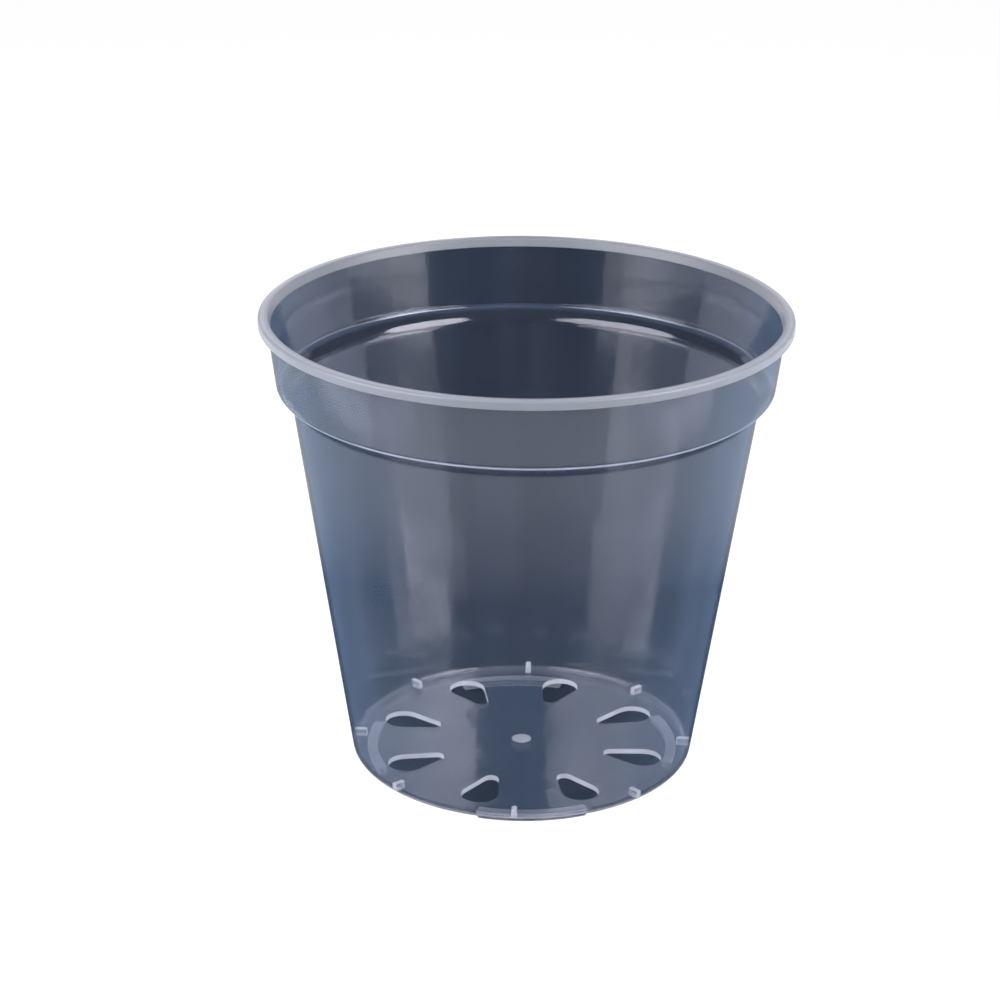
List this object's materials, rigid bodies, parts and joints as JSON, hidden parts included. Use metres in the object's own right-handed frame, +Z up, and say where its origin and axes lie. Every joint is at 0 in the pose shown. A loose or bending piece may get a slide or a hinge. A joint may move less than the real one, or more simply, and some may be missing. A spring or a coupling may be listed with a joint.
{
  "type": "orchid pot",
  "caption": "Clear tapered orchid pot with a lipped collar, a sloping shoulder, pear-shaped drain slots in the floor and low curved feet.",
  "frame": {"origin": "centre of the circle of feet, on the surface the pot stands on", "axes": "+Z up along the pot's axis, a foot on each of +X, +Y, -X and -Y, front at -Y"},
  "size_m": [0.12, 0.12, 0.1093],
  "materials": {
    "clear_plastic": "smoky clear polypropylene, glossy"
  },
  "bodies": {
    "root": {"rim_lip": "clear_plastic", "collar_band": "clear_plastic", "shoulder_ledge": "clear_plastic", "side_wall": "clear_plastic", "base_corner": "clear_plastic", "floor_disc": "clear_plastic", "gate_mark": "clear_plastic", "foot_right": "clear_plastic", "foot_back": "clear_plastic", "foot_left": "clear_plastic", "foot_front": "clear_plastic", "stacking_lug_1": "clear_plastic", "stacking_lug_2": "clear_plastic", "stacking_lug_3": "clear_plastic", "stacking_lug_4": "clear_plastic", "stacking_lug_5": "clear_plastic", "stacking_lug_6": "clear_plastic", "stacking_lug_7": "clear_plastic", "stacking_lug_8": "clear_plastic"}
  },
  "joints": []
}
